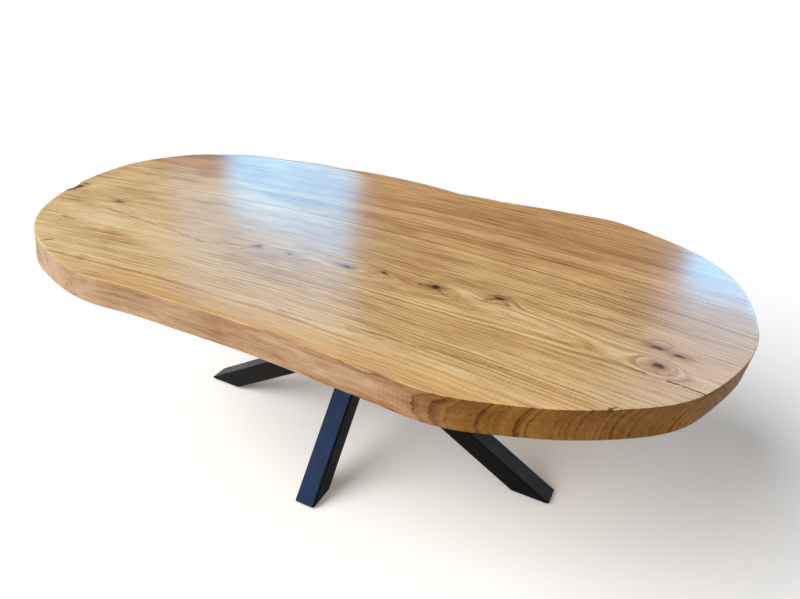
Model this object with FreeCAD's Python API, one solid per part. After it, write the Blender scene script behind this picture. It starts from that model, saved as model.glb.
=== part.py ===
"""Coffee table: a natural-edge wooden slab on a base of crossed square steel tubes.

Millimetres, Z up. The origin is on the floor, under the middle of the slab.
X runs along the slab, and its front long edge faces -Y.
"""
import FreeCAD
import Part
import math
import os

# Overall sizes
table_height = 435.0
top_length = 1250.0
top_width = 616.0
top_thickness = 48.0

# Sawn round ends, from the tip to the shoulder: (back from the tip, in from the widest line, flare)
# Flare is how far the underside stands out past the top, and is negative where it is cut under
right_tip_across = 24.0
right_tip_flare = -4.0
right_rear_end = [
    (13.0, 202.0, -2.0), (36.0, 142.0, 0.0), (86.0, 83.0, 0.0), (140.0, 47.0, 0.0), (196.0, 22.0, 1.0),
]
right_front_end = [
    (10.0, 251.0, -5.0), (32.0, 194.0, -6.0), (73.0, 129.0, -2.0),
    (134.0, 82.0, 0.0), (205.0, 44.0, 0.0), (279.0, 18.0, 1.0),
]
left_tip_across = 28.0
left_tip_flare = 6.0
left_rear_end = [
    (4.0, 228.0, 4.0), (30.0, 172.0, 2.0), (68.0, 122.0, 0.0),
    (122.0, 87.0, 0.0), (181.0, 57.0, 0.0), (254.0, 43.0, 1.0),
]
left_front_end = [
    (5.0, 279.0, 6.0), (32.0, 194.0, 7.0), (87.0, 110.0, 9.0), (146.0, 64.0, 9.0), (235.0, 26.0, 7.0),
]

# Live edges, right to left: (place along X, in from the widest line, width of bare wane)
rear_live_edge = [
    (370.0, 4.0, 0.0), (300.0, 6.0, 0.0), (224.0, 13.0, 0.0), (164.0, 21.0, 0.0), (95.0, 24.0, 0.0),
    (20.0, 13.0, 24.0), (-52.0, 5.0, 34.0), (-122.0, 4.0, 36.0), (-190.0, 9.0, 24.0), (-261.0, 24.0, 0.0),
]
front_live_edge = [
    (290.0, 4.0, 0.0), (212.0, 4.0, 0.0), (109.0, 9.0, 0.0), (-20.0, 13.0, 0.0),
    (-130.0, 11.0, 0.0), (-216.0, 9.0, 0.0), (-289.0, 4.0, 0.0),
]
live_edge_flare = 2.0
wane_depth = 4.0

# Square steel tube of the base
tube_side = 40.0
tube_wall = 3.0
tube_corner = 4.0

# How the tubes cross: height of the knot, and where the legs' centre lines land
knot_height = 222.0
leg_reach_along = 354.0
leg_reach_across = 190.0

# Plates that close the legs, with the levelling glides below them
glide_gap = 5.0
foot_plate_thickness = 4.0
glide_pad_radius = 13.0
glide_pad_edge = 1.0
glide_seat_gap = 0.3
glide_pocket_depth = 2.5
glide_travel = 10.0
stud_radius = 4.0
stud_running_gap = 0.05
stud_wall_room = 2.0
weld_nut_flats = 13.0
weld_nut_height = 6.5
thread_left_in_nut = 5.0

# Plates that carry the slab, with slots across the grain
mount_plate_thickness = 5.0
mount_plate_margin = 16.0
mount_plate_corner = 10.0
bolt_past_tube_end = 15.0
washer_room = 1.5
slot_width = 9.0
slot_length = 14.0

# Bolts, washers and threaded inserts
bolt_radius = 4.0
bolt_length = 25.0
bolt_head_flats = 13.0
bolt_head_height = 5.3
washer_radius = 10.0
washer_thickness = 1.6
washer_hole_gap = 0.2
insert_radius = 6.0
insert_length = 18.0
insert_depth_below_face = 0.5
insert_fit_gap = 0.05
insert_hole_room = 1.5

# Heights that follow from the sizes
underside = table_height - top_thickness
arm_top = underside - mount_plate_thickness
leg_bottom = glide_gap
leg_tube_bottom = leg_bottom + foot_plate_thickness
knot_rise = knot_height - leg_bottom
far_away = 2.0 * top_length

# Four sides of the base, a quarter turn apart, and the reach of the leg that stands on each
leg_reach = {
    "right": leg_reach_along,
    "rear": leg_reach_across,
    "left": leg_reach_along,
    "front": leg_reach_across,
}


def opposite(side):
    """Name of the side across the table."""
    names = list(leg_reach)
    return names[(names.index(side) + 2) % len(names)]


def outward(side):
    """Level unit vector from the middle towards a side."""
    heading = math.pi / 2.0 * list(leg_reach).index(side)
    return FreeCAD.Vector(round(math.cos(heading)), round(math.sin(heading)), 0.0)


def slope(side):
    """Angle between a leg and the floor, in radians."""
    return math.atan2(knot_rise, leg_reach[side])


def cut_length(side, height):
    """Length of a level cut through a tube of the given height across."""
    return height / math.sin(slope(side))


def edge_points():
    """Points round the slab under any wane, each with its flare and its width of wane."""
    right_tip = top_length / 2.0
    left_tip = left_tip_flare - top_length / 2.0
    side = top_width / 2.0
    edge = live_edge_flare
    points = [(right_tip, right_tip_across, right_tip_flare, 0.0)]
    points += [(right_tip - back, side - inset, flare, 0.0) for back, inset, flare in right_rear_end]
    points += [(along, side - inset, edge, wane) for along, inset, wane in rear_live_edge]
    points += [(left_tip + back, side - inset, flare, 0.0) for back, inset, flare in reversed(left_rear_end)]
    points += [(left_tip, left_tip_across, left_tip_flare, 0.0)]
    points += [(left_tip + back, inset - side, flare, 0.0) for back, inset, flare in left_front_end]
    points += [(along, inset - side, edge, wane) for along, inset, wane in reversed(front_live_edge)]
    points += [
        (right_tip - back, inset - side, flare, 0.0) for back, inset, flare in reversed(right_front_end)
    ]
    return points


def outline_wire(level, wane_share):
    """Closed smooth outline at a level above the underside, drawn in by a share of the wane."""
    points = edge_points()
    drawn = []
    for place, (x, y, flare, wane) in enumerate(points):
        before = points[place - 1]
        after = points[(place + 1) % len(points)]
        outwards = FreeCAD.Vector(after[1] - before[1], before[0] - after[0], 0.0).normalize()
        reach = flare * (1.0 - level / top_thickness) - wane * wane_share
        drawn.append(FreeCAD.Vector(x, y, underside + level) + outwards * reach)
    curve = Part.BSplineCurve()
    curve.interpolate(Points=drawn, PeriodicFlag=True)
    return Part.Wire([curve.toShape()])


def make_slab():
    """Wooden slab with flared edges, a wane along the rear and blind holes for the inserts."""
    sections = [
        outline_wire(0.0, 0.0),
        outline_wire(top_thickness - wane_depth, 0.0),
        outline_wire(top_thickness, 1.0),
    ]
    slab = Part.makeLoft(sections, True, True)
    hole_depth = insert_depth_below_face + insert_length + insert_hole_room
    holes = [
        Part.makeCylinder(insert_radius + insert_fit_gap, hole_depth, FreeCAD.Vector(x, y, underside))
        for x, y in bolt_places()
    ]
    return slab.cut(Part.makeCompound(holes))


def square_section(side, corner):
    """Square face with rounded corners, centred on the origin."""
    half = side / 2.0
    flat = half - corner
    edges = []
    for turn in range(4):
        spin = FreeCAD.Rotation(FreeCAD.Vector(0.0, 0.0, 1.0), 90.0 * turn)
        start = spin.multVec(FreeCAD.Vector(half, -flat, 0.0))
        end = spin.multVec(FreeCAD.Vector(half, flat, 0.0))
        reach = flat + corner * math.sqrt(0.5)
        middle = spin.multVec(FreeCAD.Vector(reach, reach, 0.0))
        finish = spin.multVec(FreeCAD.Vector(flat, half, 0.0))
        edges.append(Part.LineSegment(start, end).toShape())
        edges.append(Part.Arc(end, middle, finish).toShape())
    return Part.Face(Part.Wire(edges))


def bar(foot, side_length, corner):
    """Endless straight bar through the knot, rising from the foot on one side."""
    climb = slope(foot)
    along = outward(foot) * -math.cos(climb) + FreeCAD.Vector(0.0, 0.0, math.sin(climb))
    level = FreeCAD.Vector(0.0, 0.0, 1.0).cross(outward(foot))
    section = square_section(side_length, corner)
    section.translate(FreeCAD.Vector(0.0, 0.0, -far_away / 2.0))
    prism = section.extrude(FreeCAD.Vector(0.0, 0.0, far_away))
    turn = FreeCAD.Rotation(level, along.cross(level), along, "ZXY")
    prism.Placement = FreeCAD.Placement(FreeCAD.Vector(0.0, 0.0, knot_height), turn)
    return prism


def solid_bar(foot):
    """Outer form of a bar."""
    return bar(foot, tube_side, tube_corner)


def hollow_bar(foot):
    """Bar of tube."""
    bore = bar(foot, tube_side - 2.0 * tube_wall, max(tube_corner - tube_wall, tube_wall / 4.0))
    return solid_bar(foot).cut(bore)


def block(low, high):
    """Box between two corners."""
    size = [top - bottom for bottom, top in zip(low, high)]
    return Part.makeBox(*size, FreeCAD.Vector(*low))


def layer(low, high):
    """Everything between two heights."""
    return block((-far_away, -far_away, low), (far_away, far_away, high))


def quarter(side, low, high):
    """Everything on the front or rear side of the middle, between two heights."""
    if side == "front":
        return block((-far_away, -far_away, low), (far_away, 0.0, high))
    return block((-far_away, 0.0, low), (far_away, far_away, high))


def largest(shape):
    """Main solid of a cut shape."""
    return max(shape.Solids, key=lambda solid: solid.Volume)


def make_tubes():
    """Tubes of the base: one through bar, and the others cut to fit against it and each other."""
    along_cross = [solid_bar("left"), solid_bar("right")]
    tubes = {"through_bar": hollow_bar("left").common(layer(leg_tube_bottom, arm_top))}
    halves = hollow_bar("right").cut(solid_bar("left"))
    tubes["right_leg"] = largest(halves.common(layer(leg_tube_bottom, knot_height)))
    tubes["left_arm"] = largest(halves.common(layer(knot_height, arm_top)))
    for side in ("front", "rear"):
        leg = hollow_bar(side).common(quarter(side, leg_tube_bottom, knot_height))
        arm = hollow_bar(opposite(side)).common(quarter(side, knot_height, arm_top))
        tubes[side + "_leg"] = largest(leg.cut(along_cross))
        tubes[side + "_arm"] = largest(arm.cut(along_cross))
    return tubes


def hexagon(flats, height, centre):
    """Hexagonal prism standing on a point."""
    radius = flats / math.sqrt(3.0)
    turns = [turn * math.pi / 3.0 for turn in range(7)]
    corners = [
        centre + FreeCAD.Vector(radius * math.cos(turn), radius * math.sin(turn), 0.0) for turn in turns
    ]
    return Part.Face(Part.makePolygon(corners)).extrude(FreeCAD.Vector(0.0, 0.0, height))


def stud_rise():
    """Height of a stud's top above the leg's end, with the glide screwed right in."""
    return foot_plate_thickness + thread_left_in_nut + glide_travel


def glide_centre(side):
    """Point on the floor under a glide, set back so that its stud clears the sloping tube."""
    bore_half = cut_length(side, tube_side - 2.0 * tube_wall) / 2.0
    needed = (stud_rise() + stud_wall_room) / math.tan(slope(side)) + stud_radius
    return outward(side) * (leg_reach[side] - max(needed - bore_half, 0.0))


def upright(centre, low, high, radius):
    """Upright cylinder between two heights."""
    return Part.makeCylinder(radius, high - low, centre + FreeCAD.Vector(0.0, 0.0, low))


def make_foot_plate(side):
    """Plate that closes a leg, ground flush with the tube and bored for the stud."""
    plate = largest(solid_bar(side).common(layer(leg_bottom, leg_tube_bottom)))
    return plate.cut(upright(glide_centre(side), 0.0, knot_height, stud_radius + stud_running_gap))


def make_weld_nuts():
    """Nuts welded on the foot plates, inside the legs."""
    nuts = []
    for side in leg_reach:
        centre = glide_centre(side)
        nut = hexagon(weld_nut_flats, weld_nut_height, centre + FreeCAD.Vector(0.0, 0.0, leg_tube_bottom))
        nuts.append(nut.cut(upright(centre, 0.0, knot_height, stud_radius + stud_running_gap)))
    return Part.makeCompound(nuts)


def make_glide(side):
    """Pad and stud of a levelling glide, screwed right in."""
    centre = glide_centre(side)
    pad_top = leg_bottom - glide_seat_gap
    pocket_floor = pad_top - glide_pocket_depth
    pad = upright(centre, 0.0, pad_top, glide_pad_radius)
    rims = [edge for edge in pad.Edges if isinstance(edge.Curve, Part.Circle)]
    pad = pad.makeChamfer(glide_pad_edge, rims).cut(upright(centre, pocket_floor, pad_top, stud_radius))
    stud = upright(centre, pocket_floor, leg_bottom + stud_rise(), stud_radius)
    return pad, stud


def arm_landing(side):
    """Level place where an arm's centre line meets its mounting plate."""
    return outward(side) * (leg_reach[side] * (arm_top - knot_height) / knot_rise)


def bolt_offsets(side):
    """Distances of the bolts from an arm's landing, along the arm and beside it."""
    along = cut_length(side, tube_side) / 2.0 + bolt_past_tube_end
    beside = tube_side / 2.0 + washer_room + washer_radius
    return along, beside


def plate_frame(side):
    """Half sizes of a mounting plate along X and Y, and the offsets of its bolts along X and Y."""
    along, beside = bolt_offsets(side)
    if side in ("left", "right"):
        offset_x, offset_y = along, beside
    else:
        offset_x, offset_y = beside, along
    return offset_x + mount_plate_margin, offset_y + mount_plate_margin, offset_x, offset_y


def bolts_of_plate(side):
    """Places of the four bolts of a mounting plate."""
    landing = arm_landing(side)
    _, _, offset_x, offset_y = plate_frame(side)
    signs = (-1.0, 1.0)
    return [(landing.x + i * offset_x, landing.y + j * offset_y) for i in signs for j in signs]


def bolt_places():
    """Places of all bolts, as X and Y."""
    return [place for side in leg_reach for place in bolts_of_plate(side)]


def slot(x, y):
    """Cutter for a slot across the grain, through a mounting plate."""
    radius = slot_width / 2.0
    shift = slot_length / 2.0 - radius
    ends = [
        upright(FreeCAD.Vector(x, y + offset, 0.0), arm_top, underside, radius)
        for offset in (-shift, shift)
    ]
    middle = block((x - radius, y - shift, arm_top), (x + radius, y + shift, underside))
    return ends[0].fuse([ends[1], middle])


def make_mount_plate(side):
    """Plate welded on an arm, with four slots for the bolts."""
    landing = arm_landing(side)
    half_x, half_y, _, _ = plate_frame(side)
    low = (landing.x - half_x, landing.y - half_y, arm_top)
    high = (landing.x + half_x, landing.y + half_y, underside)
    plate = block(low, high)
    corners = [edge for edge in plate.Edges if edge.Vertexes[0].Z != edge.Vertexes[1].Z]
    plate = plate.makeFillet(mount_plate_corner, corners)
    return plate.cut([slot(x, y) for x, y in bolts_of_plate(side)])


def make_fasteners():
    """Bolts, washers and threaded inserts, each as one group."""
    washer_bottom = arm_top - washer_thickness
    insert_bottom = underside + insert_depth_below_face
    bolts = []
    washers = []
    inserts = []
    for x, y in bolt_places():
        centre = FreeCAD.Vector(x, y, 0.0)
        head_bottom = centre + FreeCAD.Vector(0.0, 0.0, washer_bottom - bolt_head_height)
        head = hexagon(bolt_head_flats, bolt_head_height, head_bottom)
        bolts.append(head.fuse(upright(centre, washer_bottom, washer_bottom + bolt_length, bolt_radius)))
        ring = upright(centre, washer_bottom, arm_top, washer_radius)
        washers.append(ring.cut(upright(centre, washer_bottom, arm_top, bolt_radius + washer_hole_gap)))
        sleeve = upright(centre, insert_bottom, insert_bottom + insert_length, insert_radius)
        inserts.append(sleeve.cut(upright(centre, underside, table_height, bolt_radius + insert_fit_gap)))
    return {
        "mount_bolts": Part.makeCompound(bolts),
        "mount_washers": Part.makeCompound(washers),
        "threaded_inserts": Part.makeCompound(inserts),
    }


def make_table():
    """All pieces of the table, by name."""
    pieces = {"slab_top": make_slab()}
    pieces.update(make_tubes())
    for side in leg_reach:
        pieces[side + "_mount_plate"] = make_mount_plate(side)
        pieces[side + "_foot_plate"] = make_foot_plate(side)
        pad, stud = make_glide(side)
        pieces[side + "_glide_pad"] = pad
        pieces[side + "_glide_stud"] = stud
    pieces["weld_nuts"] = make_weld_nuts()
    pieces.update(make_fasteners())
    return pieces


os.makedirs("parts", exist_ok=True)
for name, piece in make_table().items():
    piece.exportStep(os.path.join("parts", name + ".step"))
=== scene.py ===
"""Coffee table: a natural-edge wooden slab on a crossed base of black square tube."""

import math
from functools import reduce

import bmesh
import bpy
from mathutils import Matrix, Vector
from mathutils.bvhtree import BVHTree


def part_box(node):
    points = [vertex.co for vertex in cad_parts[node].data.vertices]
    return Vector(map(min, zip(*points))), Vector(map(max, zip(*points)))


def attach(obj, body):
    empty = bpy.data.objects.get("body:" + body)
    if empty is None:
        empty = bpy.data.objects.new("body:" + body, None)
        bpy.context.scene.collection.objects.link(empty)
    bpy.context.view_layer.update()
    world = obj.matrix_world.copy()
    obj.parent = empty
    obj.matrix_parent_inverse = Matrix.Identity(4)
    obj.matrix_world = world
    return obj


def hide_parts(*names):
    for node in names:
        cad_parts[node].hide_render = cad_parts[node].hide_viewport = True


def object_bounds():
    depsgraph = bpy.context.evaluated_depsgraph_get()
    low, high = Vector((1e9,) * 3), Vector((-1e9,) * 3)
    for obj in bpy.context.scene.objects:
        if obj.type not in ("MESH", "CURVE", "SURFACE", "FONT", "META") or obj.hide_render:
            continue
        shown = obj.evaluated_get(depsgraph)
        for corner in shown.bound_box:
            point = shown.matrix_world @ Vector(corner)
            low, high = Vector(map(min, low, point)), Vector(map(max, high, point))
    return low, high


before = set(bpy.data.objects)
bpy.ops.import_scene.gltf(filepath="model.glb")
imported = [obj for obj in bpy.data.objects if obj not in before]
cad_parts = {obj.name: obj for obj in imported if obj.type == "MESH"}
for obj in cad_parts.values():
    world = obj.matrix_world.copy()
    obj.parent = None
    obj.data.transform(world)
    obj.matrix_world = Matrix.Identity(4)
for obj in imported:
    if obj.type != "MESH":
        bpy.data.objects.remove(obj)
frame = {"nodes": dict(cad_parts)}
cad_low, cad_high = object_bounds()

# Slab: sizes in metres
slab_low, slab_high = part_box("slab_top")
underside = slab_low.z
top_face = slab_high.z
wane_depth = 0.004          # how far the bark-side slope on the rear edge goes down
outline_step = 0.0043       # spacing of the points along the outline
edge_row_height = 0.0045    # height of one row of faces on the edge
arris_round = 0.0014        # softened corner between the top and the edge
lower_arris_round = 0.0022  # softened corner between the edge and the underside
edge_wave_depth = 0.0024    # depth of the hand-sanded waves on the live edges
edge_wave_length = 0.055
edge_wave_fade = 0.008      # height over which the waves fade out towards the arrises
live_turn = 0.55            # how far a face looks to the front or rear where the waves begin
live_turn_span = 0.35       # how much further it looks that way where they are full
cut_clearance = 0.00005     # how far inside a face the outline is taken
flat_margin = 0.005         # band round the top and the underside that keeps the middle flat
flat_corners = 100          # only the top and the underside have more corners than this
same_height = 0.0001        # heights closer than this are one
same_point = 0.00001        # points of a mesh closer than this are one
crack_floor = 0.3           # width of a crack's floor, as a share of its width at the top
cutter_rise = 0.001         # how far a crack's cutter stands out of the top

# Drying cracks in the top: start, end, width, depth
cracks = [
    ((0.520, -0.1525), (0.590, -0.1605), 0.0016, 0.016),
    ((0.476, -0.1470), (0.500, -0.1515), 0.0013, 0.006),
    ((-0.310, -0.3000), (-0.237, -0.2945), 0.0014, 0.006),
]

# Chips off the upper arris: the rim's nearest point to a place, half length, half width, half depth
chips = [
    ((-0.606, -0.076), 0.020, 0.0070, 0.0045),
    ((0.146, 0.275), 0.007, 0.0030, 0.0025),
    ((0.176, 0.270), 0.006, 0.0026, 0.0022),
    ((0.476, -0.240), 0.003, 0.0022, 0.0016),
    ((-0.275, -0.310), 0.022, 0.0026, 0.0022),
]

# Base: square tubes through one knot, each named with the foot that its bar rises from
tube_half = 0.020
knot_height = 0.222
leg_end_height = 0.005
leg_reach = {"left": (-0.354, 0.0), "right": (0.354, 0.0), "front": (0.0, -0.190), "rear": (0.0, 0.190)}
bars = {
    "right_leg": "right",
    "left_arm": "right",
    "front_leg": "front",
    "rear_leg": "rear",
    "front_arm": "rear",
    "rear_arm": "front",
}
crossing_tubes = ["right_leg", "left_arm"]  # welded to the through bar; the other four to all three
bead_radius = 0.0032        # weld beads
bead_step = 0.0018          # spacing of the ripples in a weld
bead_ripple = 0.10          # share by which a ripple swells and shrinks
bead_merge = 0.2            # share of a step within which two points of a weld are one
touching = 0.0002           # how close a tube's cut end lies to what it is welded to
rim_bend = math.radians(12.0)   # least angle between the two faces at the rim of a cut end
rim_share = 0.92            # share of the tube's half width outside of which the outer rim lies
plate_edge_round = 0.0007   # softened edges of the mounting plates
plate_edge_bend = math.radians(50.0)    # edges with less of an angle stay as they are
flat_bend = math.radians(1.0)   # faces that bend less than this are one

# Bolts, washers and glides
bolt_flats = 0.013
bolt_head_height = 0.0053
bolt_head_turn = math.radians(30.0)     # brings two corners of a head onto its X axis
bolt_head_chamfer = 0.0063  # radius of the flat part of the head's lower face
bolt_chamfer_slope = math.radians(60.0)     # from the axis
bolt_chamfer_corners = 48
bolt_radius = 0.004
bolt_corners = 24
washer_radius = 0.010
washer_hole = 0.0042
washer_edge_round = 0.0004
washer_corners = 40
pad_corners = 64
pad_edge_round = 0.0012
pad_pocket = 0.0040         # radius of the hole that the stud sits in
pad_pocket_depth = 0.0025
pad_hollow = 0.0006         # how far the middle of the pad's sole is dished
thread_radius = 0.00398
thread_pitch = 0.00125
thread_depth = 0.00062
thread_corners = 24
thread_root = 0.2           # share of a pitch that the root takes
thread_crest = (0.5, 0.7)   # shares of a pitch between which the crest lies
thread_spare = 2            # turns under the lower end, to be cut off
level_turn = 0.9            # least part along Z of the normal of a face that lies flat

# Wood: the growth rings lie about a pith that dives to the right and comes out near the left end
pith_across = -0.104
pith_slope = 0.006
grain_bow = 0.14            # bend of the pith to the front, times the square of the place along X
grain_drift = 0.016         # width over which the grain wanders slowly
grain_ripple = 0.0080       # width of its small ripples
pith_depth = 0.020          # under the top, at the middle of the slab
pith_dive = 0.05            # how much deeper it lies for each metre to the right
pith_wander = 0.020         # height over which the pith wanders
trunk_taper = -0.08         # change in the number of rings across, for each metre along X
ring_width = 0.0078
ring_wander = 3.0           # number of rings over which their spacing wanders
smallest_ring = 0.002
planer_pitch = 0.0065       # spacing of the faint planer marks along X
ragged_width = 0.0070       # width over which the outlines of knots and lines are ragged
knot_rim = 2.1              # size of a knot's brown rim in sizes of its core
stroke_rim = 2.2            # half widths from a stroke's middle where it begins to show
stroke_core = 0.2           # half widths from its middle where it is full

# Soft noises in the wood: waves in a metre along X, Y and Z
drift_waves = (2.2, 3.0, 3.0)
ripple_waves = (9.0, 22.0, 22.0)
pith_waves = (3.1, 1.0, 1.0)
jitter_waves = [(70.0, 120.0, 120.0), (95.0, 80.0, 80.0)]   # for ragged outlines along X and along Y
break_waves = (55.0, 90.0, 90.0)
ring_fade_waves = (4.0, 26.0, 26.0)
patch_waves = (2.4, 9.0, 9.0)
planer_break_waves = (30.0, 60.0, 60.0)
blotch_waves = (13.0, 19.0, 19.0)
smudge_waves = (16.0, 16.0, 20.0)

# Soft noises over the distance from the pith: waves in a metre of it
ring_wander_waves = 70.0
streak_waves = 330.0
band_waves = 24.0

# How a noise or a distance comes in: from, to, and what it gives there if that isn't 0 and 1
line_breaks = (0.34, 0.58, 0.35, 1.0)
knot_core_edge = (0.25, 0.85)
ring_fading = (0.3, 0.65, 0.4, 1.2)
ring_near_pith = (0.015, 0.100, 0.25, 1.0)
open_pores = (0.58, 0.72)
planer_breaks = (0.35, 0.7)
cloud_range = (0.3, 0.7)

# Where in a ring its dark wood, and the line at its edge, begins, is full, fades and ends
late_wood_span = (0.30, 0.90, 0.92, 1.0)
ring_edge_span = (0.78, 0.92, 0.94, 1.0)
ring_chance_power = 1.6     # the higher it is, the fewer rings are strong
ring_strength = (0.85, 0.15)    # what chance gives a ring at most, and what every ring has

# Roughness of the varnished wood, and its relief as shares of the relief's depth in metres
wood_roughness = 0.45
fibre_roughness = 0.10
late_wood_roughness = -0.06
relief_depth = 0.0004
fine_thread_relief = 0.6
pore_relief = -0.5
planer_relief = 0.03
crack_relief = -1.0

# Fine figure along the grain: waves in a metre along and across it, detail, roughness
fine_figure = {
    "flecks": (13.0, 170.0, 2.0, 0.6),
    "fibres": (9.0, 420.0, 4.0, 0.7),
    "threads": (26.0, 1500.0, 2.0, 0.6),
    "pores": (60.0, 1250.0, 1.0, 0.5),
}

# How wide each figure swings the tone of the wood
tone_swings = {"flecks": 0.62, "fibres": 0.80, "threads": 0.30, "patches": 0.60}
streak_swing = 0.70
blotch_swing = 0.60

# How much else is added to the tone where it is full
plain_tone = 0.25
late_wood_tone = 0.44
pore_tone = 0.12
planer_tone = 0.035
far_left_tone = 0.16
edge_ring_tone = 0.30
edge_smudges = (0.70, -0.31)    # factor and offset
smudge_growth = (1.0, 1.6)      # at the right and at the left
plain_edge_loss = -0.85     # share of the figure that the plain part of the edge loses

# Slow changes of tone and of warmth over the slab: direction, from, to, change; the paler tone towards
# the left and the front is painted light, where the light falls from the front left
tone_and_painted_light_slopes = [
    ("along", 0.05, -0.55, -0.06),
    ("across", -0.14, 0.10, 0.11),
    ("across", -0.20, -0.27, -0.16),
    ("across", 0.10, 0.24, 0.03),
]
warmth_slopes = [
    ("across", -0.06, 0.14, 0.6),
    ("across", -0.20, -0.27, 0.45),
    ("along", -0.15, -0.5, -0.45),
]
far_left_warmth = 0.6
band_warmth = (1.3, -0.6)   # factor and offset
warm_range = (0.0, 0.8)     # from khaki wood to orange wood
# share of the painted reflection: the grey of window glare laid over the top near the right end
painted_glare_share = 0.26
brown_share = 0.75

# Where the looks of the edge and of the top come in
edge_turn = (0.75, 0.35)    # part of a face's normal along Z
top_skin = (0.010, 0.002)   # depth under the top

# Stretches over which a look comes in, from and to, along X unless named otherwise
plain_edge_right = (0.32, 0.05)
plain_edge_left = (-0.57, -0.44)
far_left_along = (-0.36, -0.48)
far_left_across = (0.04, 0.18)
blotches_to_left = (-0.20, -0.45)
edge_rings_to_right = (-0.05, 0.3)
smudges_to_left = (-0.10, -0.40)
# stretch over which the painted reflection of window glare greys the top near the right end
painted_glare_to_right = (0.40, 0.58)

# Wood colours from pale to dark, as 0 to 255, and the tones at which they lie
top_tones = (0.0, 0.35, 0.65, 1.0)
khaki_wood = [(236, 210, 160), (209, 171, 114), (170, 124, 70), (104, 66, 34)]
orange_wood = [(234, 188, 122), (202, 155, 98), (159, 111, 65), (98, 56, 26)]
edge_tones = (0.0, 0.4, 0.7, 1.0)
pink_sapwood = [(198, 164, 130), (164, 122, 86), (134, 91, 58), (88, 52, 28)]
heartwood = [(154, 106, 40), (127, 81, 23), (96, 56, 11), (62, 31, 4)]
end_wood = [(168, 118, 34), (134, 85, 13), (100, 57, 7), (70, 35, 4)]

# Colours that take over along the edge and in the knots, and the stretches along X where they do
edge_changes = [((0.16, 0.34), heartwood), ((0.46, 0.58), end_wood)]
knot_core = (66, 28, 4)
core_changes = [((0.35, 0.45), (92, 32, 3)), ((0.13, 0.05), (98, 44, 9)), ((-0.48, -0.55), (60, 38, 14))]
brown_line = (122, 72, 30)
# Painted reflection: the pale mauve grey of window glare, laid over the top near the right end
painted_glare_tint = (200, 192, 210)

# Knots: place on the top, half size of the eye in the grain, rise of the grain, half size of the core
knots = [
    (0.180, -0.086, 0.046, 0.018, 0.0200, 0.0088, 0.0064),
    (0.276, -0.070, 0.042, 0.016, 0.0200, 0.0100, 0.0042),
    (0.091, -0.085, 0.036, 0.014, 0.0180, 0.0046, 0.0030),
    (0.031, -0.096, 0.038, 0.013, 0.0180, 0.0080, 0.0038),
    (-0.071, -0.104, 0.030, 0.011, 0.0130, 0.0045, 0.0022),
    (-0.131, -0.107, 0.026, 0.011, 0.0130, 0.0060, 0.0038),
    (0.509, -0.126, 0.030, 0.021, 0.0400, 0.0085, 0.0055),
    (0.502, -0.087, 0.022, 0.009, 0.0180, 0.0100, 0.0036),
    (0.531, -0.093, 0.022, 0.009, 0.0180, 0.0090, 0.0038),
    (-0.467, -0.086, 0.032, 0.011, 0.0130, 0.0078, 0.0039),
]

# Waves in the grain beside the knots: place, half size, lift across the grain
waves_in_grain = [
    (0.203, -0.074, 0.018, 0.024, 0.0095),
    (0.160, -0.098, 0.022, 0.020, -0.0070),
    (0.294, -0.064, 0.018, 0.020, 0.0090),
    (0.252, -0.086, 0.020, 0.018, -0.0075),
    (0.060, -0.072, 0.030, 0.022, 0.0070),
    (-0.150, -0.122, 0.050, 0.022, -0.0055),
    (-0.040, -0.092, 0.036, 0.018, 0.0050),
    (0.500, -0.070, 0.030, 0.020, 0.0055),
]

# Cracks and bark streaks on the top: start, end, half width, strength
strokes = [
    ((0.154, -0.088), (0.178, -0.086), 0.0024, 0.60),
    ((0.184, -0.090), (0.204, -0.101), 0.0020, 0.55),
    ((0.258, -0.085), (0.272, -0.074), 0.0020, 0.60),
    ((0.280, -0.073), (0.294, -0.083), 0.0020, 0.55),
    ((0.270, -0.063), (0.287, -0.061), 0.0018, 0.60),
    ((0.012, -0.094), (0.044, -0.099), 0.0017, 0.55),
    ((0.478, -0.147), (0.497, -0.151), 0.0013, 0.70),
    ((0.523, -0.153), (0.571, -0.158), 0.0012, 0.90),
    ((-0.5915, -0.089), (-0.5885, -0.061), 0.0076, 1.00),
    ((-0.148, -0.126), (-0.131, -0.108), 0.0015, 0.50),
    ((0.470, -0.237), (0.477, -0.231), 0.0016, 0.90),
]

# Brown oval lines round a knot: centre, half size, half width, strength
eye_rings = [
    ((0.505, -0.1255), (0.026, 0.0165), 0.0020, 0.60),
    ((0.505, -0.0760), (0.014, 0.0080), 0.0016, 0.60),
]

# Brown lines that run with the grain: start, end, half width, strength
grain_lines = [
    ((-0.020, 0.084), (0.240, 0.082), 0.0017, 0.48),
    ((0.240, 0.082), (0.470, 0.084), 0.0020, 0.48),
    ((0.200, -0.056), (0.300, -0.058), 0.0016, 0.48),
    ((0.300, -0.058), (0.480, -0.045), 0.0020, 0.48),
    ((0.120, -0.236), (0.240, -0.231), 0.0022, 0.48),
    ((0.200, -0.232), (0.345, -0.225), 0.0018, 0.48),
    ((0.020, -0.246), (0.180, -0.241), 0.0018, 0.48),
    ((-0.120, 0.140), (0.200, 0.150), 0.0014, 0.48),
    ((0.250, 0.030), (0.460, 0.022), 0.0016, 0.48),
    ((0.030, -0.060), (0.088, -0.083), 0.0012, 0.48),
    ((-0.470, -0.117), (-0.399, -0.123), 0.0011, 0.85),
    ((-0.399, -0.123), (-0.291, -0.130), 0.0012, 0.85),
    ((-0.291, -0.130), (-0.219, -0.138), 0.0015, 0.85),
    ((-0.219, -0.138), (-0.131, -0.110), 0.0013, 0.85),
    ((-0.131, -0.110), (-0.047, -0.090), 0.0013, 0.85),
    ((-0.047, -0.090), (0.028, -0.097), 0.0013, 0.85),
    ((0.417, -0.132), (0.478, -0.147), 0.0012, 0.48),
    ((-0.494, -0.178), (-0.464, -0.180), 0.0020, 0.85),
    ((-0.440, -0.262), (-0.426, -0.247), 0.0018, 0.85),
]

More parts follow.
